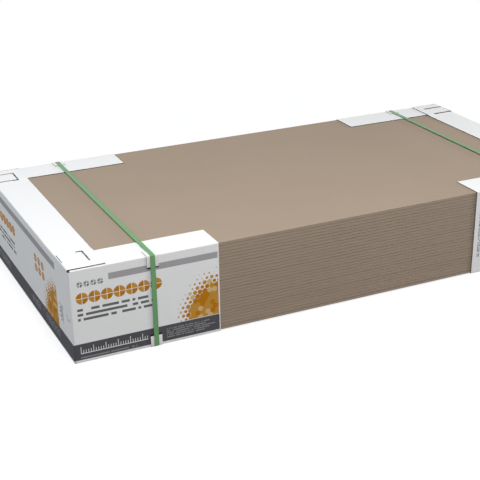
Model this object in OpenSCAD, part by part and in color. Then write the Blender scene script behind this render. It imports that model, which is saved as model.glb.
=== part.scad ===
// Banded bundle of gypsum fibre roof boards.
// A flat stack of boards lies in two folded cardboard end caps. Two flat plastic
// straps run round the bundle, over a paper edge guard at each of its long edges.
// +X runs along the bundle and +Z is up. The origin is on the floor, under the
// middle of the bundle. Millimetres.

/* [Boards] */
// Length of a board
board_length = 2438.4; // [1800:0.1:3100]
// Width of a board
board_width = 1219.2; // [900:0.1:1500]
// Thickness of a board
board_thickness = 12.7; // [6:0.1:19]
// Number of boards in the stack
board_count = 28; // [16:1:36]
// Air gap between one board and the next
board_gap = 0.9; // [0.3:0.1:1.5]

/* [End caps] */
// Thickness of the corrugated card
card_thickness = 3; // [1.5:0.1:5]
// Play between the boards and the walls of a cap
cap_play = 0.5; // [0.2:0.1:2]
// Length of a cap along the bundle, outside
cap_length = 609.6; // [450:0.1:800]
// Depth of the flaps that fold over from the end wall
end_flap_depth = 150; // [125:1:180]
// Depth of the flaps that fold over from the side walls
side_flap_depth = 150; // [110:1:180]
// How far the cut edges of an end flap stay back from the cap's sides
end_flap_setback = 8; // [5:0.5:15]
// How far the cut end of a side flap stays back from the slot in the fold
side_flap_setback = 2; // [1:0.5:10]

/* [Lock tabs] */
// Distance of a lock tab's far cut from the cap's end
tab_reach = 108; // [80:1:115]
// Width of a lock tab across the bundle
tab_width = 97; // [60:1:100]
// How far a lock tab reaches past the edge of the side flap under it
tab_overhang = 6; // [3:0.5:10]
// Width of the cuts round a lock tab
tab_cut = 3; // [2:0.5:5]
// Length of the wide slot at the inner corner of a lock tab
tab_slot_length = 24; // [15:1:35]
// Width of that slot
tab_slot_width = 6; // [5:0.5:9]
// Length of the slot in the fold behind a lock tab
fold_slot_length = 76; // [40:1:90]
// Distance of that slot from the inside of the end wall
fold_slot_gap = 1; // [0.5:0.5:4]

/* [Edge guards] */
// Thickness of the paperboard of an edge guard
guard_thickness = 2; // [1:0.1:3]
// Length of an edge guard's legs, outside
guard_leg = 55; // [30:1:70]
// Width of an edge guard along the bundle
guard_width = 48; // [30:1:70]

/* [Straps] */
// Width of a strap
strap_width = 20; // [12:1:26]
// Thickness of a strap
strap_thickness = 1; // [0.6:0.1:1.5]
// Distance of the left strap's middle from the left end of the bundle
left_strap_from_end = 334; // [260:1:390]
// Distance of the right strap's middle from the right end of the bundle
right_strap_from_end = 287; // [260:1:390]

/* [Hidden] */
sides = ["front", "back"];
levels = ["top", "bottom"];
$fn = 48;

// The stack lies on the caps' bottom flaps. At the ends two flaps lie one on the
// other, and under a strap there are a flap, a guard and the strap: the thicker
// of the two sets how far the lowest board is above the floor.
under_stack = max(2 * card_thickness, card_thickness + guard_thickness + strap_thickness);
board_pitch = board_thickness + board_gap;
stack_height = board_count * board_pitch - board_gap;
stack_middle = under_stack + stack_height / 2;

// Space inside the caps, and the outside of their walls
nest_length = board_length + 2 * cap_play;
nest_width = board_width + 2 * cap_play;
bundle_length = nest_length + 2 * card_thickness;
bundle_width = nest_width + 2 * card_thickness;

// Everything under a strap bends round the same edge of the nest
guard_bend = card_thickness + guard_thickness;
strap_bend = guard_bend + strap_thickness;

// Lock tabs, from the outside of the cap's end and side
fold_slot_start = card_thickness + fold_slot_gap;
fold_slot_end = fold_slot_start + tab_cut;
tab_cut_start = side_flap_depth + tab_overhang;
tab_far_side = tab_cut_start + tab_cut;
side_flap_start = fold_slot_end + side_flap_setback;

left_strap_x = left_strap_from_end - bundle_length / 2;
right_strap_x = bundle_length / 2 - right_strap_from_end;

card_white = "whitesmoke";
board_brown = [0.66, 0.60, 0.53];
strap_green = [0.44, 0.68, 0.48];

// A rectangle of width by height, centred, grown by bend on every side with
// round corners of radius bend
module wrapped_rectangle(width, height, bend) {
    square([width + 2 * bend, height], center = true);
    square([width, height + 2 * bend], center = true);
    for (x = [-1, 1], y = [-1, 1])
        translate([x * width / 2, y * height / 2]) circle(r = bend);
}

// The wall between two such rectangles
module wrap_wall(width, height, inner_bend, outer_bend) {
    difference() {
        wrapped_rectangle(width, height, outer_bend);
        if (inner_bend > 0) wrapped_rectangle(width, height, inner_bend);
        else square([width, height], center = true);
    }
}

// A profile drawn in the bundle's cross section (Y across, Z up), carried along
// X by length, from x = 0
module along_bundle(length) {
    rotate([90, 0, 90]) linear_extrude(length) children();
}

// A profile drawn in the bundle's long section (X along, Z up), carried across
// the bundle by width, about its middle
module across_bundle(width) {
    translate([0, width / 2, 0]) rotate([90, 0, 0]) linear_extrude(width) children();
}

module boards() {
    color(board_brown)
        for (layer = [0:board_count - 1])
            translate([-board_length / 2, -board_width / 2, under_stack + layer * board_pitch])
                cube([board_length, board_width, board_thickness]);
}

// End wall and side walls of a cap: one strip bent round the nest in plan
module cap_walls() {
    translate([0, 0, under_stack]) linear_extrude(stack_height)
        intersection() {
            wrap_wall(nest_length, nest_width, 0, card_thickness);
            translate([-bundle_length / 2, -bundle_width / 2])
                square([cap_length, bundle_width]);
        }
}

// The four side flaps: they bend over the nest's long edges, top and bottom
module side_flaps() {
    translate([side_flap_start - bundle_length / 2, 0, stack_middle])
        along_bundle(cap_length - side_flap_start)
            difference() {
                wrap_wall(nest_width, stack_height, 0, card_thickness);
                square([bundle_width - 2 * side_flap_depth, 2 * stack_height], center = true);
            }
}

// The two end flaps: they bend over the end wall and lie on the side flaps
module end_flaps() {
    height_over_flaps = stack_height + 2 * card_thickness;
    translate([0, 0, stack_middle])
        across_bundle(bundle_width - 2 * end_flap_setback)
            intersection() {
                wrap_wall(nest_length, height_over_flaps, 0, card_thickness);
                translate([-bundle_length / 2, -stack_height])
                    square([end_flap_depth, 2 * stack_height]);
            }
}

// Cuts through an end flap round one lock tab, in plan. The cap's end is at
// x = 0 and its side at y = 0. The cuts stop short of the fold, where a slot
// lets the tab hinge.
module lock_tab_cuts() {
    tab_near_side = tab_far_side - tab_width;
    // far cut, along the cap's end
    translate([tab_reach - tab_cut, tab_near_side]) square([tab_cut, tab_width]);
    // the two side cuts
    for (y = [tab_near_side, tab_cut_start])
        translate([fold_slot_end, y]) square([tab_reach - fold_slot_end, tab_cut]);
    // wide slot at the tab's inner corner
    translate([tab_reach - tab_slot_length, tab_cut_start])
        square([tab_slot_length, tab_slot_width]);
    // slot in the fold
    translate([fold_slot_start, tab_far_side - fold_slot_length])
        square([tab_cut, fold_slot_length]);
}

// The cuts of one cap's four lock tabs, down to the side flaps
module lock_tabs() {
    for (side = [0, 1], level = [0, 1])
        translate([-bundle_length / 2, 0, stack_middle])
            mirror([0, side, 0]) mirror([0, 0, level])
                translate([0, -bundle_width / 2, stack_height / 2 + card_thickness])
                    linear_extrude(2 * card_thickness) lock_tab_cuts();
}

module end_cap() {
    difference() {
        union() {
            cap_walls();
            side_flaps();
            end_flaps();
        }
        lock_tabs();
    }
}

module end_cap_left() {
    color(card_white) end_cap();
}

module end_cap_right() {
    color(card_white) mirror([1, 0, 0]) end_cap();
}

// An angle of paperboard, bent over one long edge of the cap
module edge_guard(strap_x, side, level) {
    leg_start = guard_leg - guard_thickness;
    color(card_white)
        translate([strap_x - guard_width / 2, 0, stack_middle])
            along_bundle(guard_width)
                intersection() {
                    wrap_wall(nest_width, stack_height, card_thickness, guard_bend);
                    translate([side * (bundle_width / 2 - leg_start + guard_leg / 2),
                               level * (stack_height / 2 + card_thickness - leg_start + guard_leg / 2)])
                        square(guard_leg, center = true);
                }
}

// A closed loop of flat strapping over four edge guards
module strap(strap_x) {
    color(strap_green)
        translate([strap_x - strap_width / 2, 0, stack_middle])
            along_bundle(strap_width)
                wrap_wall(nest_width, stack_height, guard_bend, strap_bend);
}

boards();
end_cap_left();
end_cap_right();
for (s = [0, 1], l = [0, 1]) {
    side = s == 0 ? -1 : 1;
    level = l == 0 ? 1 : -1;
    corner = str(sides[s], "_", levels[l]);
    edge_guard(left_strap_x, side, level);
    edge_guard(right_strap_x, side, level);
}
strap(left_strap_x);  // strap_left
strap(right_strap_x);  // strap_right
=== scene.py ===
# %% [markdown]
# # A banded bundle of gypsum fibre roof boards
# Twenty-eight flat boards lie in two folded cardboard caps, held by two plastic
# straps over paper edge guards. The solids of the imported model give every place
# and size. This script dresses them: each piece is a surface worked out with
# numpy, laid exactly where its solid is, with a material made of nodes.

# %% Load the bundle
import math

import bpy
import numpy as np
from mathutils import Euler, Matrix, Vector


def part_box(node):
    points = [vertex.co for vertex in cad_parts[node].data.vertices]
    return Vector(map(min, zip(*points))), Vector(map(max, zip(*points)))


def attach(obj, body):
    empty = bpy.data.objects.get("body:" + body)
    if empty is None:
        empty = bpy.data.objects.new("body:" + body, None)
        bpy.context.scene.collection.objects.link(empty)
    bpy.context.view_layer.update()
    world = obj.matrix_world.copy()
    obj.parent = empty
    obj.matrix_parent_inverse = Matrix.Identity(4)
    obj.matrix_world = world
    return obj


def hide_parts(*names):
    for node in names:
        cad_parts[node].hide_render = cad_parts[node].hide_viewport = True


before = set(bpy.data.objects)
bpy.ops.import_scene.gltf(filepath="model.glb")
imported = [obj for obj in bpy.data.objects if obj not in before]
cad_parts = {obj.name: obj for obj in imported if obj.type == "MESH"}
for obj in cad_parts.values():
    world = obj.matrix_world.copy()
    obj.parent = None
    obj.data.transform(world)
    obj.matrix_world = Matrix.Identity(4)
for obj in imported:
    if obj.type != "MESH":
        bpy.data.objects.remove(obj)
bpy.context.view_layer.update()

# %% [markdown]
# ## Surfaces from arrays
# Every piece is a grid of points: rows and columns of a formula. Neighbouring
# points make a four-sided face. Working on whole arrays keeps the formulas in
# sight, and a grid's own two coordinates can be kept as a UV map.

# %% Grid helpers
MM = 0.001
CREASE_FROM = math.radians(40)


def grid_faces(rows, columns, closed=False):
    """Faces of a grid numbered row by row: point (i, j) is i * columns + j.
    A closed grid joins the last column to the first."""
    number = np.arange(rows * columns).reshape(rows, columns)
    if closed:
        number = np.concatenate([number, number[:, :1]], axis=1)
    corners = [number[:-1, :-1], number[:-1, 1:], number[1:, 1:], number[1:, :-1]]
    return np.stack(corners, -1).reshape(-1, 4)


def make_piece(name, points, faces, materials, face_material=None, corner_uv=None):
    """A mesh object from an array of points and a list of faces. face_material
    gives each face the number of its material, and corner_uv each face corner
    its place on the material's map."""
    mesh = bpy.data.meshes.new(name)
    mesh.from_pydata(np.asarray(points).tolist(), [], [list(face) for face in faces])
    for material in materials:
        mesh.materials.append(material)
    if face_material is not None:
        mesh.polygons.foreach_set("material_index", np.asarray(face_material, np.int32))
    if corner_uv is not None:
        mesh.uv_layers.new(name="sheet").data.foreach_set("uv", np.asarray(corner_uv, np.float32).ravel())
    mesh.update()
    piece = bpy.data.objects.new(name, mesh)
    bpy.context.scene.collection.objects.link(piece)
    return piece


def smooth_bends(piece):
    """Smooth shading, creased where two faces turn by CREASE_FROM or more."""
    piece.data.shade_smooth()
    piece.data.set_sharp_from_angle(angle=CREASE_FROM)


def stand_for(piece, slot, *nodes):
    """The piece stands for the named solids and takes their place in the bundle."""
    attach(piece, "root")
    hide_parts(*nodes)
    print(f"{piece.name}: {len(piece.data.polygons)} faces")


print("a grid of 3 by 4 points has", len(grid_faces(3, 4)), "faces")

# %% [markdown]
# ## Node recipes
# A material is a tree of nodes. Written one by one they bury the idea, so a
# `Wire` stands for a node's output and takes sums and comparisons: each adds one
# Math node. A `Graph` grows by calls, and a `Recipe` is a material's graph.


# %% Wire
class Wire:
    """One output of a node, ready for arithmetic. A comparison gives 1 or 0."""

    def __init__(self, graph, socket):
        self.graph = graph
        self.socket = socket

    def math(self, operation, *others):
        return self.graph.math(operation, self, *others)

    def __add__(self, other):
        return self.math("ADD", other)

    def __sub__(self, other):
        return self.math("SUBTRACT", other)

    def __rsub__(self, other):
        return self.graph.math("SUBTRACT", other, self)

    def __mul__(self, other):
        return self.math("MULTIPLY", other)

    def __truediv__(self, other):
        return self.math("DIVIDE", other)

    def __lt__(self, other):
        return self.math("LESS_THAN", other)

    def __gt__(self, other):
        return self.math("GREATER_THAN", other)

    def __abs__(self):
        return self.math("ABSOLUTE")

    __radd__ = __add__
    __rmul__ = __mul__


# %% Graph
class Graph:
    """A tree of nodes, filled by calls that add to it."""

    def __init__(self, tree):
        self.tree = tree

    def node(self, kind, inputs=(), output=0, **settings):
        """Adds a node, sets or links its inputs, and returns a wire from its output."""
        made = self.tree.nodes.new(kind)
        for setting, value in settings.items():
            setattr(made, setting, value)
        for socket, value in dict(inputs).items():
            self.feed(made.inputs[socket], value)
        return Wire(self, made.outputs[output])

    def feed(self, socket, value):
        if isinstance(value, Wire):
            self.tree.links.new(value.socket, socket)
        else:
            socket.default_value = value

    def outputs(self, wire, *names):
        """Wires from other outputs of the node that the wire comes from."""
        return [Wire(self, wire.socket.node.outputs[name]) for name in names]

    def math(self, operation, *values):
        return self.node("ShaderNodeMath", dict(enumerate(values)), operation=operation)

    def vector(self, operation, *values, output="Vector"):
        inputs = dict(enumerate(values))
        return self.node("ShaderNodeVectorMath", inputs, output=output, operation=operation)

    def join(self, x, y, z=0.0):
        return self.node("ShaderNodeCombineXYZ", {0: x, 1: y, 2: z})

    def split(self, vector):
        """The three numbers of a vector, as three wires."""
        return self.outputs(self.node("ShaderNodeSeparateXYZ", {0: vector}), "X", "Y", "Z")

    def paint(self, base, colour, amount, blend="MIX"):
        """Lays a colour over another, as strongly as amount says."""
        inputs = {0: amount, 6: base, 7: colour}
        return self.node("ShaderNodeMix", inputs, output=2, data_type="RGBA", blend_type=blend)

    def tone(self, colour, amount):
        """Makes a colour lighter or darker by the factor amount."""
        return self.paint(colour, self.join(amount, amount, amount), 1.0, "MULTIPLY")

    def spread(self, value, low, high, new_low=0.0, new_high=1.0):
        """Maps low..high onto new_low..new_high and stops at both ends."""
        inputs = {0: value, 1: low, 2: high, 3: new_low, 4: new_high}
        return self.node("ShaderNodeMapRange", inputs)

    def noise(self, place, scale, detail=2.0, roughness=0.5):
        inputs = {"Vector": place, "Scale": scale, "Detail": detail, "Roughness": roughness}
        return self.node("ShaderNodeTexNoise", inputs)

    def chance(self, dimensions, seed):
        """A random number from 0 to 1, the same wherever the seed is the same. The
        seed is a number in 1D and a vector in 2D and 3D."""
        socket = "W" if dimensions == "1D" else "Vector"
        return self.node("ShaderNodeTexWhiteNoise", {socket: seed}, noise_dimensions=dimensions)

    def stretch(self, place, scale, turn=(0.0, 0.0, 0.0)):
        """Turns a place by turn, in radians, then scales it axis by axis."""
        inputs = {"Vector": place, "Rotation": turn, "Scale": scale}
        return self.node("ShaderNodeMapping", inputs, vector_type="POINT")

    def place(self):
        """The point's place on the object, in metres."""
        return self.node("ShaderNodeTexCoord", output="Object")

    def sheet(self):
        """The point's place on the piece's own UV map, in metres."""
        return self.node("ShaderNodeUVMap", uv_map="sheet")

    def level(self):
        """1 where the face lies level, up or down, and 0 where it stands upright."""
        normal = self.node("ShaderNodeNewGeometry", output="True Normal")
        return abs(self.split(normal)[2])

    def seen(self):
        """1 for what the camera sees, straight or by way of a glossy or a clear
        surface, and 0 for the light that things throw on each other."""
        path = self.node("ShaderNodeLightPath")
        camera, glossy, clear = self.outputs(path, "Is Camera Ray", "Is Glossy Ray", "Is Transmission Ray")
        return self.math("MAXIMUM", self.math("MAXIMUM", camera, glossy), clear)


# %% Recipe
class Recipe(Graph):
    """A material with one Principled shader."""

    def __init__(self, name, **constants):
        self.material = bpy.data.materials.new(name)
        self.material.use_nodes = True
        super().__init__(self.material.node_tree)
        self.shader = self.tree.nodes["Principled BSDF"]
        for socket, value in constants.items():
            self.shader.inputs[socket.replace("_", " ")].default_value = value

    def colour(self, value):
        self.feed(self.shader.inputs["Base Color"], value)

    def roughness(self, value):
        self.feed(self.shader.inputs["Roughness"], value)

    def bump(self, height, depth):
        """Relief from a height of 0 to 1, depth metres deep."""
        inputs = {"Strength": 1.0, "Distance": depth, "Height": height}
        self.feed(self.shader.inputs["Normal"], self.node("ShaderNodeBump", inputs))


# %% [markdown]
# ## Gypsum fibre
# The board is gypsum and paper fibre pressed into a flat, matt, warm grey-brown
# sheet. Close up it is full of short pale and dark fibres, with broad clouds
# where the mix varied. Three stretched noises at different angles make the
# fibres. Sawn edges are the same stuff with fine streaks along the board, and
# every board in the stack is a shade lighter or darker than its neighbours. On
# the sawn edges a line of painted shade darkens each seam between boards.

# %% Material of the boards
BOARD_COUNT = 28
BOARD_BROWN = (0.372, 0.292, 0.222, 1.0)
FIBRE_STRETCH = (220.0, 1500.0, 900.0)
FIBRE_TURNS = [(0.3 * turn, 0.2, turn) for turn in (0.4, 1.5, 2.6)]
STREAK_STRETCH = (14.0, 14.0, 2600.0)
SEAM_SHADE_WIDTH = 3.0 * MM
stack_low, stack_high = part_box("boards")
board_pitch = (stack_high.z - stack_low.z) / BOARD_COUNT


def gypsum_fibre():
    """The brown times a value near 1. Each pattern adds its share to the value,
    and on the edges also the board's own shade, its streaks and a line of
    painted shade at each seam."""
    mix = Recipe("gypsum_fibre", Specular_IOR_Level=0.25)
    place = mix.place()
    height = mix.split(place)[2] - stack_low.z
    edge = mix.level() < 0.5
    shade = mix.chance("1D", mix.math("FLOOR", height / board_pitch))
    clouds = mix.noise(place, scale=2.2, detail=3.0)
    mottle = mix.noise(place, scale=38.0, detail=4.0, roughness=0.6)
    grain = mix.noise(place, scale=420.0, detail=3.0, roughness=0.7)
    threads = [mix.stretch(place, FIBRE_STRETCH, turn) for turn in FIBRE_TURNS]
    fibres = [mix.noise(thread, scale=1.0, detail=1.0) for thread in threads]
    pale = mix.spread(fibres[0], 0.66, 0.74) + mix.spread(fibres[1], 0.66, 0.74)
    dark = mix.spread(fibres[2], 0.66, 0.76)
    streaks = mix.noise(mix.stretch(place, STREAK_STRETCH), scale=1.0)
    # Painted shade: the sawn edges darken towards each seam between boards.
    painted_seam_shade = mix.spread(mix.math("PINGPONG", height, board_pitch / 2), 0.0, SEAM_SHADE_WIDTH, 1.0, 0.0)
    value = 1.0 + (clouds - 0.5) * 0.10 + (mottle - 0.5) * 0.10 + (grain - 0.5) * 0.12
    value = value + pale * 0.07 - dark * 0.10
    value = value + edge * (0.015 + (shade - 0.5) * 0.02 + (streaks - 0.5) * 0.07 - painted_seam_shade * 0.40)
    mix.colour(mix.tone(BOARD_BROWN, value))
    mix.roughness(mix.spread(mottle, 0.3, 0.7, 0.78, 0.94))
    mix.bump(grain * 0.5 + mottle * 0.2 + (pale - dark) * 0.15 + edge * streaks * 0.5, 0.25 * MM)
    return mix.material


board_finish = gypsum_fibre()
print("material:", board_finish.name, "for boards", round(board_pitch, 5), "m apart")

# %% [markdown]
# ## The boards
# A board is a plain slab, but its sawn edges are a little eased by handling. In
# the stack the eased edges of two boards make a shallow groove; that groove and a
# line of painted shade in the board's material show as a thin line between
# boards. So each board is a set of rings: the outline of the slab, drawn in at
# the bottom and the top by a quarter round.
# Each board has slipped a hair, as no stack is true.

# %% Shape of one board
EDGE_EASE = 0.9 * MM
EASE_RINGS = 4
BOARD_CORNER = 1.5 * MM


def ring_outline(inset, half_length, half_width):
    """Points of a rounded rectangle: at corner k the outline turns by a quarter
    circle of radius BOARD_CORNER - inset about a fixed centre."""
    angle = np.radians([0.0, 45.0, 90.0])
    turn = np.arange(4)[:, None] * np.pi / 2 + angle[None, :]
    sign_x = np.array([1, -1, -1, 1])[:, None]
    sign_y = np.array([1, 1, -1, -1])[:, None]
    radius = BOARD_CORNER - inset
    x = sign_x * (half_length - BOARD_CORNER) + radius * np.cos(turn)
    y = sign_y * (half_width - BOARD_CORNER) + radius * np.sin(turn)
    return np.stack([x.ravel(), y.ravel()], -1)


def one_board(half_length, half_width, thickness):
    """Rings from the underside to the top: the inset is EDGE_EASE * (1 - sin t)
    while the height is EDGE_EASE * (1 - cos t), then the same from above."""
    t = np.linspace(0.0, np.pi / 2, EASE_RINGS)
    inset = EDGE_EASE * (1 - np.sin(t))
    height = EDGE_EASE * (1 - np.cos(t))
    insets = np.concatenate([inset, inset[::-1]])
    heights = np.concatenate([height, thickness - height[::-1]])
    rings = [ring_outline(i, half_length, half_width) for i in insets]
    levels = np.repeat(heights, len(rings[0]))[:, None]
    return np.concatenate([np.concatenate(rings), levels], axis=1), len(insets), len(rings[0])


# %% Board stack
STACK_SLIP = 0.4 * MM
SLIP_SEED = 28
HAIR_GAP = 0.5 * MM


def board_stack():
    """The same rings for every board, moved by its own slip and up to its level,
    with a hair of air under it."""
    random = np.random.default_rng(SLIP_SEED)
    half_length = stack_high.x - STACK_SLIP
    half_width = stack_high.y - STACK_SLIP
    board, rings, around = one_board(half_length, half_width, board_pitch - HAIR_GAP)
    slip = random.uniform(-STACK_SLIP, STACK_SLIP, (BOARD_COUNT, 1, 2))
    level = stack_high.z - board_pitch * np.arange(BOARD_COUNT, 0, -1) + HAIR_GAP
    points = np.repeat(board[None], BOARD_COUNT, axis=0)
    points[:, :, :2] += slip
    points[:, :, 2] += level[:, None]
    sides = grid_faces(rings, around, closed=True)
    under = np.arange(around)[::-1]
    top = np.arange(around) + (rings - 1) * around
    faces = []
    for first in np.arange(BOARD_COUNT) * len(board):
        faces += (sides + first).tolist() + [(under + first).tolist(), (top + first).tolist()]
    return make_piece("board_stack", points.reshape(-1, 3), faces, [board_finish])


stand_for(board_stack(), "gypsum_fibre", "boards")

# %% [markdown]
# ## The caps as one folded sheet
# Each cap is a single die-cut sheet of corrugated card. Unfolded, it is a long
# strip, the wall, with flaps above and below it. So a point of the cap has two
# coordinates on the flat blank: `u` along the wall, round the end of the bundle,
# and `v` across it, from the wall's middle out to a flap's edge. Folding is a
# formula that carries (u, v) to its place, and cutting is leaving cells out.
# A third number, the depth in the card, gives the inside and the outside.

# %% Sizes of a cap
CARD = 3.0 * MM
FLAP_DEPTH = 150.0 * MM
END_FLAP_SETBACK = 8.0 * MM
SIDE_FLAP_START = 9.0 * MM
FOLD_RADIUS = 2.2 * MM

cap_low, cap_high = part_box("end_cap_left")
half_length = -cap_low.x
half_width = cap_high.y
cap_length = cap_high.x - cap_low.x
middle_z = (cap_low.z + cap_high.z) / 2
# A fold takes `bend` of the blank and `corner_size` of the cap's outside.
bend = FOLD_RADIUS * math.pi / 2
corner_size = CARD / 2 + FOLD_RADIUS
side_run = cap_length - corner_size
end_run = 2 * (half_width - corner_size)
wall_run = 2 * side_run + 2 * bend + end_run
side_rise = (cap_high.z - cap_low.z) / 2 - CARD - corner_size
end_rise = side_rise + CARD
flap_run = FLAP_DEPTH - corner_size
print(f"cap: {cap_length:.4f} m long, blank {wall_run:.3f} x {2 * (end_rise + bend + flap_run):.3f} m")

# %% Folding the blank
SETTLE = (150.0 * MM, 190.0 * MM)
ROUNDING = 1e-6


def on_end_flap(u):
    """True where the strip carries the end flap, between its two cut edges."""
    start = side_run + bend + END_FLAP_SETBACK - corner_size
    return (u >= start - ROUNDING) & (u <= wall_run - start + ROUNDING)


def settling(u):
    """How far the upper end flap has settled: by nothing over the side flaps and
    by one card between them, with a soft step 3tt - 2ttt past their edges."""
    distance = half_width - np.abs(u - wall_run / 2)
    t = np.clip((distance - SETTLE[0]) / (SETTLE[1] - SETTLE[0]), 0, 1)
    return CARD * t * t * (3 - 2 * t)


def fold(u, v, depth):
    """Carries blank point (u, v) to its place on the left cap. In plan the wall
    runs straight, turns a quarter circle, runs across the end, turns again and
    runs back; the angle turned so far is h. In section it rises by up to `rise`,
    turns inward by the angle t, and goes on inward as a flap. depth moves the
    point along the sheet's normal, outward if positive. The settling fades to
    nothing down the wall."""
    r = FOLD_RADIUS
    first = np.clip(u - side_run, 0, bend) / r
    second = np.clip(u - side_run - bend - end_run, 0, bend) / r
    h = first + second
    along_front = np.clip(u, 0, side_run)
    along_end = np.clip(u - side_run - bend, 0, end_run)
    along_back = np.clip(u - side_run - 2 * bend - end_run, 0, side_run)
    x = -half_length + cap_length - along_front - r * np.sin(first) + r * (1 - np.cos(second)) + along_back
    y = -half_width + CARD / 2 + r * (1 - np.cos(first)) + along_end + r * np.sin(second)
    rise = np.where(on_end_flap(u), end_rise, side_rise)
    t = np.clip(np.abs(v) - rise, 0, bend) / r
    beyond = np.clip(np.abs(v) - rise - bend, 0, None)
    straight = np.minimum(np.abs(v), rise)
    inward = r * (1 - np.cos(t)) + beyond - depth * np.cos(t)
    upward = straight + r * np.sin(t) + depth * np.sin(t)
    upward = upward - settling(u) * np.clip(v / rise, 0, 1)
    return np.stack([x + inward * np.sin(h), y + inward * np.cos(h), middle_z + np.sign(v) * upward], -1)


print("middle of the blank, folded:", fold(wall_run / 2, 0.0, 0.0).round(4).tolist())

# %% [markdown]
# ### Cutting the blank
# The grid's lines run along every fold and every cut, so that a cut is whole
# cells left out. Each corner of an end flap has a lock tab: a tongue cut free on
# three sides, with a wide slot at one corner and a slot in the fold behind it.
# As a flap settles a cut may close up or gape, so only the widths differ.

# %% Cuts round the lock tabs
TAB_CUT = 3.0 * MM
SHUT_CUT = 0.2 * MM
GAPING_CUT = 5.0 * MM
TAB_REACH = 108.0 * MM
TAB_WIDTH = 97.0 * MM
TAB_FAR_SIDE = 159.0 * MM
TAB_SLOT = (24.0 * MM, 6.0 * MM)
FOLD_SLOT_LENGTH = 76.0 * MM
FOLD_SLOT = (4.0 * MM, 7.0 * MM)


def tab_cuts(side_cut, far_cut):
    """Boxes cut out round one tab, as distances from the cap's side (near, far)
    and from its end (low, high). side_cut is the width of the two side cuts and
    far_cut that of the cut between them. The slot in the fold comes last."""
    near_side = TAB_FAR_SIDE - TAB_WIDTH
    inner = TAB_FAR_SIDE - TAB_CUT
    return [
        (near_side, TAB_FAR_SIDE, TAB_REACH - far_cut, TAB_REACH),
        (near_side, near_side + side_cut, FOLD_SLOT[1], TAB_REACH),
        (inner, inner + side_cut, FOLD_SLOT[1], TAB_REACH),
        (inner, inner + TAB_SLOT[1], TAB_REACH - TAB_SLOT[0], TAB_REACH),
        (TAB_FAR_SIDE - FOLD_SLOT_LENGTH, TAB_FAR_SIDE, *FOLD_SLOT),
    ]


FRONT_TAB = tab_cuts(SHUT_CUT, TAB_CUT)
LEFT_TABS = (FRONT_TAB, tab_cuts(TAB_CUT, TAB_CUT))
RIGHT_TABS = (tab_cuts(GAPING_CUT, SHUT_CUT), FRONT_TAB)
print("cuts round a tab:", len(FRONT_TAB))

# %% Lines of the grid
FOLD_STEPS = 5
SETTLE_STEPS = 4
GRID_STEP = 35.0 * MM
CREASE_STEP = 2.0 * MM
DIGITS = 7


def u_from_side(distance):
    """Blank coordinate of a place on the end, measured from the cap's side."""
    return side_run + bend + distance - corner_size


def v_from_end(distance):
    """Blank coordinate of a place on the end flap, measured from the cap's end."""
    return end_rise + bend + distance - corner_size


def filled(lines, step):
    """Adds evenly spaced lines wherever two lines are further apart than step."""
    lines = np.unique(np.round(lines, DIGITS))
    parts = [np.linspace(a, b, max(1, math.ceil((b - a) / step)) + 1) for a, b in zip(lines[:-1], lines[1:])]
    return np.unique(np.round(np.concatenate(parts), DIGITS))


def fold_lines(start):
    """Lines through one fold and close beside it, where flat turns to round."""
    turn = np.linspace(start, start + bend, FOLD_STEPS + 1)
    return [start - CREASE_STEP, *turn, start + bend + CREASE_STEP]


def half_u_lines(tab):
    """Lines from one wall's free end to the middle of the end."""
    start = side_run + corner_size - SIDE_FLAP_START
    cuts = [u_from_side(side) for box in tab for side in box[:2]]
    step = u_from_side(np.linspace(*SETTLE, SETTLE_STEPS + 1))
    return [0.0, start, *fold_lines(side_run), u_from_side(END_FLAP_SETBACK), *cuts, *step, wall_run / 2]


def half_v_lines(tabs):
    """Lines from the wall's middle to the edge of a flap."""
    cuts = [v_from_end(reach) for tab in tabs for box in tab for reach in box[2:]]
    edges = [side_rise + bend + flap_run, end_rise + bend + flap_run]
    return [0.0, *fold_lines(side_rise), *fold_lines(end_rise), *cuts, *edges]


def blank_lines(tabs):
    """The grid's lines along u and along v. The first tab is on the side where u
    starts, the last on the side where it ends."""
    u_lines = [*half_u_lines(tabs[0]), *(wall_run - np.array(half_u_lines(tabs[1])))]
    v_lines = np.array(half_v_lines(tabs))
    return filled(u_lines, GRID_STEP), filled([*-v_lines, *v_lines], GRID_STEP)


print("grid lines of the left blank:", [len(lines) for lines in blank_lines(LEFT_TABS)])


# %% Cells that are card
def kept_cells(u_lines, v_lines, tabs):
    """True for each cell of the grid that is card, by the place of its middle."""
    u = (u_lines[:-1, None] + u_lines[1:, None]) / 2
    v = np.abs(v_lines[None, :-1] + v_lines[None, 1:]) / 2
    half_u = np.minimum(u, wall_run - u)
    flap_edge = np.where(on_end_flap(u), end_rise, side_rise) + bend + flap_run
    has_flap = on_end_flap(u) | (half_u < side_run + corner_size - SIDE_FLAP_START)
    kept = np.where(has_flap, v < flap_edge, v < side_rise)
    for tab, half in zip(tabs, (u < wall_run / 2, u > wall_run / 2)):
        for near, far, low, high in tab:
            inside = half & (half_u > u_from_side(near)) & (half_u < u_from_side(far))
            kept &= ~(inside & (v > v_from_end(low)) & (v < v_from_end(high)))
    return kept


# %% [markdown]
# ### Inside, outside and cut edges
# The kept cells are laid twice, half a card outward and half a card inward. An
# edge with card on one side only is a cut edge, and gets a strip of faces from
# the outside to the inside. On that strip the map runs along the cut and across
# the card, so that the wavy paper between the liners can be drawn on it.


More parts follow.
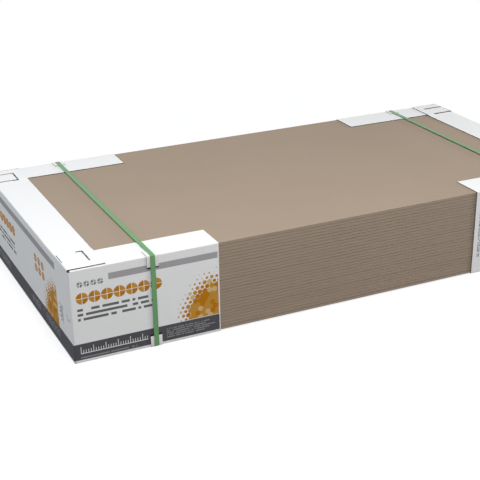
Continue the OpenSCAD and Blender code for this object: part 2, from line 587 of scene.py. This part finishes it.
# %% Cut edges
def cut_strips(kept):
    """Ends (i, j) of each cut edge with the card on its left, seen from outside,
    and the mark 1 where the cut crosses the flutes, 0 where it runs along them."""
    card = np.pad(kept, 1)
    strips = []
    for axis in (0, 1):
        step = np.diff(card.astype(int), axis=axis)
        step = step[:, 1:-1] if axis == 0 else step[1:-1, :]
        for change in (1, -1):
            i, j = np.nonzero(step == change)
            far_i, far_j = (i, j + 1) if axis == 0 else (i + 1, j)
            ends = np.stack([i, j, far_i, far_j], -1)
            if (change == 1) == (axis == 0):
                ends = ends[:, [2, 3, 0, 1]]
            strips.append(np.concatenate([ends, np.full((len(ends), 1), axis)], axis=1))
    return np.concatenate(strips)


# %% Cap shell
def cap_mesh(tabs, turned):
    """Points, faces, materials and map of a cap. The right cap is the left one
    turned by half a turn about the upright axis."""
    u_lines, v_lines = blank_lines(tabs)
    kept = kept_cells(u_lines, v_lines, tabs)
    u, v = np.meshgrid(u_lines, v_lines, indexing="ij")
    columns = len(v_lines)
    total = u.size
    points = np.concatenate([fold(u, v, side * CARD / 2).reshape(-1, 3) for side in (1, -1)])
    if turned:
        points = points * np.array([-1.0, -1.0, 1.0])
    outside = grid_faces(len(u_lines), columns)[kept.ravel()]
    inside = outside[:, ::-1] + total
    blank = np.stack([u - wall_run / 2, v], -1).reshape(-1, 2)
    blank = np.concatenate([blank, blank])
    i0, j0, i1, j1, crosses = cut_strips(kept).T
    start, end = i0 * columns + j0, i1 * columns + j1
    strips = np.stack([end, start, start + total, end + total], -1)
    s0, s1 = u_lines[i0] * crosses, u_lines[i1] * crosses
    outer, inner = np.full_like(s0, CARD), np.zeros_like(s0)
    strip_uv = np.stack([s1, outer, s0, outer, s0, inner, s1, inner], -1).reshape(-1, 2)
    faces = np.concatenate([outside, inside, strips])
    face_material = np.repeat([0, 1, 2], [len(outside), len(inside), len(strips)])
    corner_uv = np.concatenate([blank[outside].reshape(-1, 2), blank[inside].reshape(-1, 2), strip_uv])
    used, faces = np.unique(faces, return_inverse=True)
    return points[used], faces.reshape(-1, 4), face_material, corner_uv


# %% [markdown]
# ## Card and print
# The card's outer liner is bleached white and printed in one pass. The print is
# drawn on the flat blank, as a printer does, so it runs unbroken round the
# folds. Bands, discs and rows of short bars take the places where a maker puts
# its name, its pictures and its words.

# %% Inks
CARD_WHITE = (0.900, 0.900, 0.897, 1.0)
INK_DARK = (0.100, 0.098, 0.109, 1.0)
INK_GREY = (0.412, 0.399, 0.415, 1.0)
INK_TEXT = (0.160, 0.160, 0.165, 1.0)
INK_FINE = (0.280, 0.280, 0.290, 1.0)
GOLD_DEEP = (0.520, 0.200, 0.007, 1.0)
GOLD_MIDDLE = (0.580, 0.290, 0.050, 1.0)
GOLD_PALE = (0.700, 0.490, 0.230, 1.0)

# %% A press
# Bars, as shares of a row; then ticks and discs, in millimetres.
BAR_FILL = 0.52
WORD_STEP = 0.55
BLANK_WORDS = 0.22
SHORTEST_ROW = 0.7
TICK_STEP = 10
TALL_STEP = 50
TICK_WIDTH = 2.4
RULE_WIDTH = 3
CROSS_HALF = 1.2


class Press(Recipe):
    """A recipe that prints: each call returns 1 where there is ink and 0 elsewhere.
    Lengths are in millimetres."""

    def within(self, value, low, high):
        return self.math("COMPARE", value, (low + high) / 2 * MM, (high - low) / 2 * MM)

    def patch(self, along, start, end, across, low, high):
        return self.within(along, start, end) * self.within(across, low, high)

    def bars(self, along, start, end, across, low, high, rows, seed):
        """Rows of short bars. The row and the place along it pick a random number
        that leaves some bars out, and each row ends at a random length."""
        row_height = (high - low) / rows
        row = (across - low * MM) / (row_height * MM)
        number = self.math("FLOOR", row) + seed
        word = self.math("FLOOR", (along - start * MM) / (WORD_STEP * row_height * MM))
        length = self.chance("1D", number) * (1 - SHORTEST_ROW) + SHORTEST_ROW
        inked = self.math("FRACT", row) < BAR_FILL
        inked = inked * (self.chance("2D", self.join(word, number)) > BLANK_WORDS)
        inked = inked * (along < length * (end - start) * MM + start * MM)
        return inked * self.patch(along, start, end, across, low, high)

    def pale_bars(self, *row):
        """Bars printed at half strength."""
        return self.bars(*row) * 0.5

    def ticks(self, along, start, step):
        """1 for the first TICK_WIDTH of every step."""
        return self.math("FRACT", (along - start * MM) / (step * MM)) < TICK_WIDTH / step

    def scale(self, along, start, end, across, low, high):
        """A row of ticks on a ruled line, every fifth one tall."""
        middle = (low + high) / 2
        small = self.ticks(along, start, TICK_STEP) * self.patch(along, start, end, across, low, middle)
        tall = self.ticks(along, start, TALL_STEP) * self.patch(along, start, end, across, middle, high)
        rule = self.patch(along, start, end, across, low - RULE_WIDTH, low)
        return self.math("MAXIMUM", small + tall, rule)

    def roundels(self, along, start, count, pitch, across, low, high):
        """A row of discs, each cut in four by a thin cross. Returns the ink and
        which quarters are pale."""
        x = self.math("WRAP", along - start * MM, pitch * MM, 0.0) - pitch / 2 * MM
        z = across - (low + high) / 2 * MM
        disc = x * x + z * z < ((high - low) / 2 * MM) ** 2
        cross = self.math("MINIMUM", abs(x), abs(z))
        row = self.within(along, start, start + count * pitch)
        return row * disc * (cross > CROSS_HALF * MM), x * z > 0.0

    def dots(self, pitch):
        """A triangular lattice of dots: two square-cornered lattices, of which the
        nearer dot wins. Returns the distance from the dot's middle in pitches, and
        the dot's place as whole numbers of half steps, the same all over a dot."""
        spot = self.vector("MULTIPLY", self.sheet(), (1 / (pitch * MM),) * 3)
        step = (1.0, math.sqrt(3.0), 1.0)
        half = (0.5, math.sqrt(3.0) / 2, 0.5)
        offsets = []
        for shift in ((0.0, 0.0, 0.0), half):
            moved = self.vector("SUBTRACT", spot, shift)
            offsets.append(self.vector("SUBTRACT", self.vector("WRAP", moved, step, (0.0, 0.0, 0.0)), half))
        flat = [self.vector("MULTIPLY", offset, (1.0, 1.0, 0.0)) for offset in offsets]
        far = [self.vector("LENGTH", offset, output="Value") for offset in flat]
        choice = {0: far[0] < far[1], 4: offsets[1], 5: offsets[0]}
        offset = self.node("ShaderNodeMix", choice, output=1, data_type="VECTOR")
        middle = self.vector("DIVIDE", self.vector("SUBTRACT", spot, offset), half)
        number = self.vector("FLOOR", self.vector("ADD", middle, (0.5, 0.5, 0.5)))
        return self.math("MINIMUM", *far), number


# %% [markdown]
# ### The print
# Each wall has its own distance: from the cap's end on the two long sides, and
# from the side on the end; `up` is the height over the floor. The walls are named
# as they lie on the left cap, since the right one is the same blank turned by
# half a turn. Tables in millimetres hold the artwork.

# %% Artwork
# Ink, kind of print, along which distance, from, to, across which, low and high;
# for bars also the number of rows and a seed.
ARTWORK = (
    (INK_DARK, "patch", "front", -5, 606, "up", 13.5, 82),
    (INK_DARK, "patch", "end", 3.5, 1222, "up", 7.5, 82),
    (INK_DARK, "patch", "back", -5, 545, "up", 13.5, 82),
    (INK_GREY, "patch", "front", 155, 604, "up", 327, 353),
    (INK_GREY, "patch", "end", 180, 1215, "up", 326.5, 357.5),
    (INK_GREY, "patch", "back", 30, 545, "up", 327, 353),
    (INK_TEXT, "bars", "front", 25, 375, "up", 178, 238, 3, 9),
    (INK_TEXT, "bars", "end", 790, 1130, "up", 152, 212, 3, 4),
    (INK_TEXT, "bars", "back", 180, 520, "up", 178, 238, 3, 1),
    (INK_TEXT, "bars", "end", 108, 156, "up", 128, 204, 9, 11),
    (INK_TEXT, "pale_bars", "end", 20, 75, "up", 166, 194, 3, 21),
    (INK_TEXT, "bars", "up", 79, 335, "back", 575, 590, 2, 31),
    (INK_FINE, "bars", "front", 378, 592, "up", 27, 72, 5, 41),
    (INK_FINE, "bars", "front", 25, 310, "up", 20, 31, 1, 47),
    (INK_FINE, "bars", "end", 180, 420, "up", 34, 68, 4, 51),
    (INK_FINE, "bars", "end", 450, 610, "up", 34, 68, 4, 61),
    (INK_FINE, "bars", "end", 930, 1180, "up", 34, 68, 4, 71),
    (INK_FINE, "bars", "back", 300, 530, "up", 27, 72, 5, 41),
    (CARD_WHITE, "scale", "front", 26, 300, "up", 42, 69),
    (CARD_WHITE, "scale", "back", 26, 280, "up", 42, 69),
)
# Two inks, wall, start, number and pitch of the discs, low and high.
GOLDS = (GOLD_DEEP, GOLD_MIDDLE)
ROUNDELS = (
    (GOLDS, "front", 22, 7, 49.5, 246, 294),
    (GOLDS, "back", 180, 7, 49.5, 246, 294),
    (GOLDS, "end", 775, 7, 49.5, 238, 286),
    (GOLDS, "end", 338, 3, 49.5, 250, 288),
    (GOLDS, "end", 338, 3, 49.5, 206, 244),
    ((INK_TEXT, INK_GREY), "front", 28, 4, 27.0, 316, 339),
)


def walls(u):
    """Distance along each wall of a place u on the blank, from the blank's middle."""
    wall_start = wall_run / 2 - cap_length
    return {"front": -1.0 * u - wall_start, "end": u + half_width, "back": u - wall_start}


def print_artwork(card, place, colour):
    """Lays each row of the tables over the colour."""
    for ink, kind, along, start, end, across, low, high, *rest in ARTWORK:
        amount = getattr(card, kind)(place[along], start, end, place[across], low, high, *rest)
        colour = card.paint(colour, ink, amount)
    for inks, wall, start, count, pitch, low, high in ROUNDELS:
        disc, pale = card.roundels(place[wall], start, count, pitch, place["up"], low, high)
        colour = card.paint(colour, card.paint(*inks, pale), disc)
    return colour


print("rows of artwork:", len(ARTWORK) + len(ROUNDELS))

# %% [markdown]
# ### Fans of dots
# A fan of dots stands in each lower corner: its dots shrink from the corner to
# the rim, and near the corner they grow together into cells. Size and shade are
# worked out for a dot's middle, so a dot stays round and has one shade.

# %% Fans
DOT_PITCH = 21.0
FAN_FOOT = 80
FAN_RISE = 190
SIZE_CHANCE = 0.15
DOT_SIZES = (-0.12, 0.28, 0.0, 0.60)
MIDDLE_FROM = 0.42
PALE_FROM = 0.80
# Wall, corner and reach, then start, end, low and high.
FANS = (
    ("front", 606, 170, 400, 604, 84, 290),
    ("end", 178, 195, 180, 420, 81, 290),
    ("back", 20, 170, 22, 240, 84, 290),
)


def print_fans(card, place, colour):
    """size = 1 - the root of (run squared + rise squared), both as shares of the
    fan's reach. It sets the radius that a dot's distance has to stay under."""
    distance, dot = card.dots(DOT_PITCH)
    half_step = (DOT_PITCH / 2 * MM, DOT_PITCH * math.sqrt(0.75) * MM, 0.0)
    dot_u, dot_v, _ = card.split(card.vector("MULTIPLY", dot, half_step))
    dot_place = walls(dot_u)
    rise = (dot_v + middle_z - FAN_FOOT * MM) / (FAN_RISE * MM)
    chance = card.chance("3D", dot)
    ink = 0.0
    for wall, corner, reach, *limits in FANS:
        run = (dot_place[wall] - corner * MM) / (reach * MM)
        size = 1.0 - card.math("SQRT", run * run + rise * rise) + (chance - 0.5) * SIZE_CHANCE
        dots = distance < card.spread(size, *DOT_SIZES)
        ink = dots * card.patch(place[wall], *limits[:2], place["up"], *limits[2:]) + ink
    shade = card.paint(GOLD_DEEP, GOLD_MIDDLE, chance > MIDDLE_FROM)
    shade = card.paint(shade, GOLD_PALE, chance > PALE_FROM)
    return card.paint(colour, shade, ink)


# %% [markdown]
# ### Painted shade at the cuts, and the printed card
# Next to each open cut and along the end flaps' cut edges a dark brown rim is
# painted on the white liner as shade. Each cap has its own cuts, so it has its
# own finish.

# %% Printed card
FLUTE = 7.2 * MM
# Painted shade: the dark brown laid beside the cuts.
CUT_SHADE = (0.120, 0.105, 0.090, 1.0)
LEFT_SHADE_RIM = 2.0
RIGHT_SHADE_RIM = 3.5
FLAP_SHADE_RIM = 3.0


def paint_cut_shade(card, end, v, colour, tabs, rim):
    """Rims of painted shade, in millimetres, round the open cuts and along the end
    flaps' cut edges. `end` is the distance along the end wall."""
    flap = abs(v) - (end_rise + bend - corner_size)
    edge = END_FLAP_SETBACK / MM
    shaded_rim = 0.0
    for side, (*cuts, _) in zip((end, 2 * half_width - end), tabs):
        for near, far, low, high in cuts:
            if min(far - near, high - low) > 2 * SHUT_CUT:
                across = (near / MM - rim, far / MM + rim)
                shaded_rim = card.patch(side, *across, flap, low / MM - rim, high / MM + rim) + shaded_rim
        shaded_rim = card.patch(side, edge, edge + FLAP_SHADE_RIM, flap, 0, FLAP_DEPTH / MM) + shaded_rim
    return card.paint(colour, CUT_SHADE, card.math("MINIMUM", shaded_rim, 1.0))


def printed_card(name, tabs, rim):
    """White liner, print and rims of painted shade, over flutes that follow a sine along u."""
    card = Press(name, Specular_IOR_Level=0.05)
    sheet = card.sheet()
    u, v, _ = card.split(sheet)
    wobble = card.noise(sheet, scale=900.0, detail=1.0)
    fibre = card.noise(sheet, scale=60.0, detail=4.0, roughness=0.6)
    place = {**walls(u), "up": v + middle_z}
    colour = card.tone(CARD_WHITE, 1.0 + (fibre - 0.5) * 0.03)
    colour = print_artwork(card, place, colour)
    colour = paint_cut_shade(card, place["end"], v, colour, tabs, rim)
    colour = print_fans(card, place, colour)
    flutes = card.math("SINE", u * (2 * math.pi / FLUTE)) * 0.5 + 0.5
    scuff = card.noise(card.stretch(sheet, (9.0, 30.0, 1.0)), scale=1.0, detail=5.0, roughness=0.65)
    card.colour(colour)
    card.roughness(card.spread(scuff, 0.3, 0.7, 0.62, 0.75))
    card.bump(flutes * 0.4 + fibre * 0.3 + wobble * 0.2, 0.12 * MM)
    return card.material


# %% Kraft liner and cut edge
KRAFT_BROWN = (0.36, 0.23, 0.13, 1.0)
# Painted shade: the cut paper is darker than kraft, its hollows near-black.
EDGE_PAPER_SHADED = (0.085, 0.060, 0.042, 1.0)
HOLLOW_SHADE = (0.010, 0.007, 0.005, 1.0)


def kraft_liner():
    """Unbleached brown paper, the inner face of the card."""
    kraft = Recipe("kraft_liner", Specular_IOR_Level=0.3, Roughness=0.85)
    threads = kraft.stretch(kraft.sheet(), (300.0, 40.0, 1.0))
    fibre = kraft.noise(threads, scale=1.0, detail=4.0, roughness=0.6)
    kraft.colour(kraft.tone(KRAFT_BROWN, 0.85 + fibre * 0.3))
    kraft.bump(fibre, 0.1 * MM)
    return kraft.material


def card_edge():
    """A cut through the card: two thin liners and the wavy paper between them,
    brown paper painted far darker than kraft as shade, with the hollows between
    painted near-black as shade.
    The map's v runs from 0 on the inside to CARD on the outside; as a share of
    the card, the wave's height is 0.5 + 0.4 sin of the place along the cut."""
    cut = Recipe("card_edge", Specular_IOR_Level=0.2, Roughness=0.9)
    along, across, _ = cut.split(cut.sheet())
    depth = across / CARD
    wave = cut.math("SINE", along * (2 * math.pi / FLUTE)) * 0.40 + 0.5
    liners = 1.0 - cut.math("COMPARE", depth, 0.5, 0.40)
    paper = cut.math("MAXIMUM", cut.math("COMPARE", depth, wave, 0.10), liners)
    fibre = cut.noise(cut.sheet(), scale=700.0, detail=3.0, roughness=0.6)
    cut.colour(cut.tone(cut.paint(HOLLOW_SHADE, EDGE_PAPER_SHADED, paper), 0.8 + fibre * 0.4))
    cut.bump(paper, 1.0 * MM)
    return cut.material


inner_finishes = [kraft_liner(), card_edge()]
print("materials:", [material.name for material in inner_finishes])

# %% Caps in place
for side, tabs, rim in (("left", LEFT_TABS, LEFT_SHADE_RIM), ("right", RIGHT_TABS, RIGHT_SHADE_RIM)):
    points, faces, face_material, corner_uv = cap_mesh(tabs, turned=side == "right")
    finishes = [printed_card(f"printed_card_{side}", tabs, rim), *inner_finishes]
    cap = make_piece(f"cap_{side}", points, faces, finishes, face_material, corner_uv)
    smooth_bends(cap)
    stand_for(cap, "cap_card", f"end_cap_{side}")

# %% [markdown]
# ## Edge guards
# A guard is a short angle of laminated paperboard that keeps the tight strap
# from cutting the card. Its section is an L with a round outside corner; carried
# along the bundle it makes the guard. The map runs round the section.

# %% Guard finishes
GUARD_WHITE = (0.86, 0.86, 0.85, 1.0)
# Painted shade: the near-black of the guards' cut faces.
PLY_SHADE = (0.022, 0.018, 0.014, 1.0)
PLY = 0.45 * MM


def guard_face():
    """White paper with a faint cloud of fibres."""
    board = Recipe("guard_board", Specular_IOR_Level=0.2)
    place = board.place()
    fibre = board.noise(place, scale=90.0, detail=4.0, roughness=0.6)
    fine = board.noise(place, scale=900.0)
    board.colour(board.tone(GUARD_WHITE, 1.0 + (fibre - 0.5) * 0.06))
    board.roughness(board.spread(fibre, 0.3, 0.7, 0.5, 0.65))
    board.bump(fibre * 0.6 + fine * 0.3, 0.1 * MM)
    return board.material


def guard_edge():
    """A cut through the plies, painted near-black as shade: thin layers that run
    round the section, a sine of the depth with one wave to a ply."""
    plies = Recipe("guard_edge", Specular_IOR_Level=0.2, Roughness=0.9)
    _, across, _ = plies.split(plies.sheet())
    layer = plies.math("SINE", across * (2 * math.pi / PLY)) * 0.5 + 0.5
    fibre = plies.noise(plies.sheet(), scale=800.0, detail=3.0)
    plies.colour(plies.tone(PLY_SHADE, 0.75 + layer * 0.25 + fibre * 0.2))
    plies.bump(layer, 0.2 * MM)
    return plies.material


guard_finishes = [guard_face(), guard_edge()]
print("materials:", [material.name for material in guard_finishes])

# %% Guard shape
GUARD_BOARD = 2.0 * MM
GUARD_BEND_STEPS = 6
SHADE_SLANT = 7.0 * MM


def guard_section(low, high):
    """The L between two corners of its box, from one leg's end round the bend to
    the other's: first the outer line, then the inner, each with a quarter circle.
    The first leg's end is slanted, longer on the outer face, so that its
    near-black cut face shows as painted shade at the leg's end."""
    outer_round = GUARD_BOARD + CARD
    angle = np.linspace(0.0, np.pi / 2, GUARD_BEND_STEPS + 1)
    wide, tall = high[0] - low[0], high[1] - low[1]
    lines = []
    for radius, slant in ((outer_round, SHADE_SLANT), (outer_round - GUARD_BOARD, 0.0)):
        across = np.concatenate([[outer_round - radius], outer_round - radius * np.cos(angle), [wide]])
        down = np.concatenate([[tall - slant], outer_round - radius * np.sin(angle), [outer_round - radius]])
        lines.append(np.stack([across, down], -1))
    return lines


def edge_guard(name, node, outward, upward):
    """The section carried along X. outward and upward say which way the guard's
    corner points."""
    low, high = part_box(node)
    outer, inner = guard_section((low.y, low.z), (high.y, high.z))
    section = np.concatenate([outer, inner[::-1]])
    y = (high.y - section[:, 0]) if outward > 0 else (low.y + section[:, 0])
    z = (high.z - section[:, 1]) if upward > 0 else (low.z + section[:, 1])
    count = len(section)
    half = count // 2
    points = np.concatenate([np.stack([np.full(count, x), y, z], -1) for x in (low.x, high.x)])
    pairs = np.arange(half - 1)
    end = np.stack([pairs, pairs + 1, count - 2 - pairs, count - 1 - pairs], -1)
    faces = np.concatenate([grid_faces(2, count, closed=True), end[:, ::-1], end + count])
    if outward * upward > 0:
        faces = faces[:, ::-1]
    leg_cuts = np.isin(np.arange(count), [half - 1, count - 1])
    face_material = np.concatenate([leg_cuts.astype(int), np.ones(2 * len(end), int)])
    run = np.concatenate([[0], np.cumsum(np.hypot(*np.diff(outer, axis=0).T))])
    depth = np.repeat([GUARD_BOARD, 0.0], half)
    uv = np.stack([np.concatenate([run, run[::-1]]), depth], -1)
    corner_uv = uv[faces % count].reshape(-1, 2)
    guard = make_piece(name, points, faces, guard_finishes, face_material, corner_uv)
    smooth_bends(guard)
    stand_for(guard, "guard_board", node)


# %% Guards in place
for side in ("left", "right"):
    for face, outward in (("front", -1), ("back", 1)):
        for level, upward in (("top", 1), ("bottom", -1)):
            corner = f"{side}_{face}_{level}"
            edge_guard(f"guard_{corner}", f"edge_guard_{corner}", outward, upward)

# %% [markdown]
# ## Straps
# The strap is green polyester band, rolled with a fine waffle so that the weld
# holds and the light breaks up on it. Its slit edges are painted a darker green
# as shade. It is a flat section with soft corners carried round a loop: four
# straight runs and four quarter turns over the guards. The map runs along the
# loop and round the section, from the outer face over the edges to the inner face.

# %% Strap finish
STRAP_WIDTH = 20.0 * MM
STRAP_THICKNESS = 1.0 * MM
# Along the section's girth: one flat face, then half way round.
STRAP_FLAT = STRAP_WIDTH - STRAP_THICKNESS / 2
STRAP_HALF_GIRTH = STRAP_FLAT + STRAP_THICKNESS * (0.5 + math.sqrt(0.5))
STRAP_GREEN = (0.112, 0.300, 0.111, 1.0)
SLIT_SHADE_GREEN = (0.030, 0.070, 0.028, 1.0)
WAFFLE = 2.4 * MM


def strap_green():
    """Green band. The waffle is the higher of two sines that cross at right
    angles, and the slit edges, what lies past a flat face, are painted dark
    green as shade."""
    band = Recipe("strap_plastic", IOR=1.55, Specular_IOR_Level=0.5)
    along, across, _ = band.split(band.sheet())
    place = band.place()
    slants = (along + across, along - across)
    ridges = [band.math("SINE", slant * (2 * math.pi / WAFFLE)) for slant in slants]
    waffle = band.math("MAXIMUM", *ridges) * 0.5 + 0.5
    cloud = band.noise(place, scale=6.0, detail=3.0)
    fine = band.noise(place, scale=1200.0)
    # Painted shade: the slit edges turn a darker green.
    slit_shade = band.math("WRAP", across, STRAP_HALF_GIRTH, 0.0) > STRAP_FLAT
    green = band.paint(STRAP_GREEN, SLIT_SHADE_GREEN, slit_shade)
    band.colour(band.tone(green, 0.93 + waffle * 0.06 + cloud * 0.08 + fine * 0.04))
    band.roughness(band.spread(fine + cloud * 0.3, 0.3, 0.9, 0.34, 0.5))
    band.bump(waffle, 0.12 * MM)
    return band.material


strap_finish = strap_green()
print("material:", strap_finish.name)

# %% Strap shape
STRAP_BEND = 6.0 * MM
STRAP_BEND_STEPS = 8


def loop_path(low, high):
    """Middle line of the strap in (y, z) with its outward normal: about each
    corner of the loop's inner box it turns a quarter circle."""
    angle = np.linspace(0.0, np.pi / 2, STRAP_BEND_STEPS + 1)
    turn = (np.arange(4)[:, None] * np.pi / 2 + angle[None, :]).ravel()
    right, left = high.y - STRAP_BEND, low.y + STRAP_BEND
    above, below = high.z - STRAP_BEND, low.z + STRAP_BEND
    corners = np.array([(right, above), (left, above), (left, below), (right, below)])
    normal = np.stack([np.cos(turn), np.sin(turn)], -1)
    return np.repeat(corners, len(angle), axis=0) + normal * (STRAP_BEND - STRAP_THICKNESS / 2), normal


def strap_section():
    """A flat band's section: x across, w outward, corners cut by a quarter of
    the thickness."""
    x, w, c = STRAP_WIDTH / 2, STRAP_THICKNESS / 2, STRAP_THICKNESS / 4
    right = np.array([(x - c, w), (x, w - c), (x, c - w), (x - c, -w)])
    left = -right
    return np.concatenate([left[-1:], right, left[:-1]])


def strap(name, node):
    """The section carried round the loop: path + normal * w, moved by x."""
    low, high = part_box(node)
    path, normal = loop_path(low, high)
    section = strap_section()
    around = len(section)
    x = np.broadcast_to((low.x + high.x) / 2 + section[None, :, 0], (len(path), around))
    y = path[:, None, 0] + normal[:, None, 0] * section[None, :, 1]
    z = path[:, None, 1] + normal[:, None, 1] * section[None, :, 1]
    points = np.stack([x, y, z], -1).reshape(-1, 3)
    step = np.hypot(*np.diff(np.concatenate([path, path[:1]]), axis=0).T)
    run = np.concatenate([[0], np.cumsum(step)])
    girth = np.concatenate([[0], np.cumsum(np.hypot(*np.diff(section, axis=0).T))])
    faces = grid_faces(len(path) + 1, around, closed=True)
    corner_uv = np.stack([np.repeat(run, around)[faces], np.tile(girth, len(run))[faces]], -1)
    closing = faces[:, [1, 2]] % around == 0
    corner_uv[:, [1, 2], 1] = np.where(closing, 2 * STRAP_HALF_GIRTH, corner_uv[:, [1, 2], 1])
    faces = faces % len(points)
    piece = make_piece(name, points, faces, [strap_finish], None, corner_uv.reshape(-1, 2))
    smooth_bends(piece)
    stand_for(piece, "strap_plastic", node)
    print(f"{name}: loop of {run[-1]:.3f} m")


# %% Straps in place
for side in ("left", "right"):
    strap(f"band_{side}", f"strap_{side}")

# %% [markdown]
# ## Floor, light and camera
# The bundle stands on a white floor under plain light: a lamp above, one on the
# right that draws the straps' shadows to the left, a wide, cooler one on the
# left, and an even sky. A weak sun stands so low that each strap throws a second,
# faint shadow further out. The floor shows as white and keeps a shadow.

# %% Floor
FLOOR_HALF = 30.0
FLOOR_GREY = 0.35
GLOW_NEAR = 0.76
SHADOW_PART = 0.36
NEAR, FAR = 1.5, 3.0
WHITE = (1.0, 1.0, 1.0, 1.0)


def grey(level):
    return (level, level, level, 1.0)


def white_floor():
    """Grey for the light that it throws back on the bundle. Where it is seen it
    glows white, less so near the bundle, where the light that falls on it makes up
    the rest and so draws the shadow."""
    floor = Recipe("floor", Specular_IOR_Level=0.0, Roughness=1.0)
    seen = floor.seen()
    distance = floor.vector("LENGTH", floor.place(), output="Value")
    far = floor.spread(distance, NEAR, FAR)
    lit = floor.paint(grey(SHADOW_PART), grey(0.0), far)
    floor.colour(floor.paint(grey(FLOOR_GREY), lit, seen))
    floor.feed(floor.shader.inputs["Emission Color"], WHITE)
    floor.feed(floor.shader.inputs["Emission Strength"], seen * (far * (1.0 - GLOW_NEAR) + GLOW_NEAR))
    return floor.material


corners = np.array([(-1, -1, 0), (1, -1, 0), (1, 1, 0), (-1, 1, 0)]) * FLOOR_HALF
ground = make_piece("floor", corners, [(0, 1, 2, 3)], [white_floor()])
print("floor:", 2 * FLOOR_HALF, "m wide")

# %% Sky
SKY_STRENGTH = 0.27
SKY_TINT = (0.95, 0.99, 1.03, 1.0)

world = bpy.data.worlds.new("studio")
bpy.context.scene.world = world
world.use_nodes = True
sky = Graph(world.node_tree)
dim = sky.tree.nodes["Background"]
sky.feed(dim.inputs["Color"], SKY_TINT)
sky.feed(dim.inputs["Strength"], SKY_STRENGTH)
white = sky.node("ShaderNodeBackground", {"Color": WHITE, "Strength": 1.0})
shown = sky.node("ShaderNodeMixShader", {0: sky.seen(), 1: Wire(sky, dim.outputs[0]), 2: white})
sky.feed(sky.tree.nodes["World Output"].inputs["Surface"], shown)
print("sky:", SKY_STRENGTH, "for the bundle, 1.0 for the camera")

# %% Lamps
WARM = (1.0, 0.99, 0.98)
COOL = (0.93, 0.98, 1.04)


def hang_lamp(name, kind, place, aim, power, tint, **settings):
    """A lamp at place that shines at aim. For a sun only the direction counts."""
    data = bpy.data.lights.new(name, kind)
    data.energy = power
    data.color = tint
    for setting, value in settings.items():
        setattr(data, setting, value)
    lamp = bpy.data.objects.new(name, data)
    lamp.location = place
    x, y, z = np.subtract(aim, place)
    lamp.rotation_euler = Euler((math.atan2(math.hypot(x, y), -z), 0.0, math.atan2(y, x) - math.pi / 2))
    bpy.context.scene.collection.objects.link(lamp)
    print(f"{name}: {kind.lower()} lamp of strength {power}")


hang_lamp("lamp_above", "AREA", (-0.9, -1.9, 3.8), (0.0, 0.0, 0.2), 84.0, WARM, size=0.9)
hang_lamp("lamp_right", "AREA", (4.2, -2.2, 3.2), (0.2, 0.0, 0.2), 82.0, WARM, size=1.0)
hang_lamp("lamp_left", "AREA", (-4.2, 1.0, 3.2), (-1.0, 0.0, 0.2), 59.0, COOL, size=1.5)
hang_lamp("lamp_low", "SUN", (1.0, -0.16, 0.12), (0.0, 0.0, 0.0), 1.5, WARM, angle=math.radians(3.0))

# %% Camera
CAMERA_PLACE = (-2.2434, -4.3273, 2.0975)
CAMERA_TURN = (64.724, 0.418, -26.155)
LENS = 84.747
LENS_SHIFT = (-0.0417, 0.1042)
SENSOR = 36.0

camera_data = bpy.data.cameras.new("camera")
camera_data.lens = LENS
camera_data.sensor_width = SENSOR
camera_data.shift_x, camera_data.shift_y = LENS_SHIFT
camera = bpy.data.objects.new("camera", camera_data)
camera.location = CAMERA_PLACE
camera.rotation_euler = Euler([math.radians(angle) for angle in CAMERA_TURN])
bpy.context.scene.collection.objects.link(camera)
bpy.context.scene.camera = camera
bpy.context.scene.view_settings.view_transform = "Standard"
print("camera:", LENS, "mm lens at", CAMERA_PLACE)
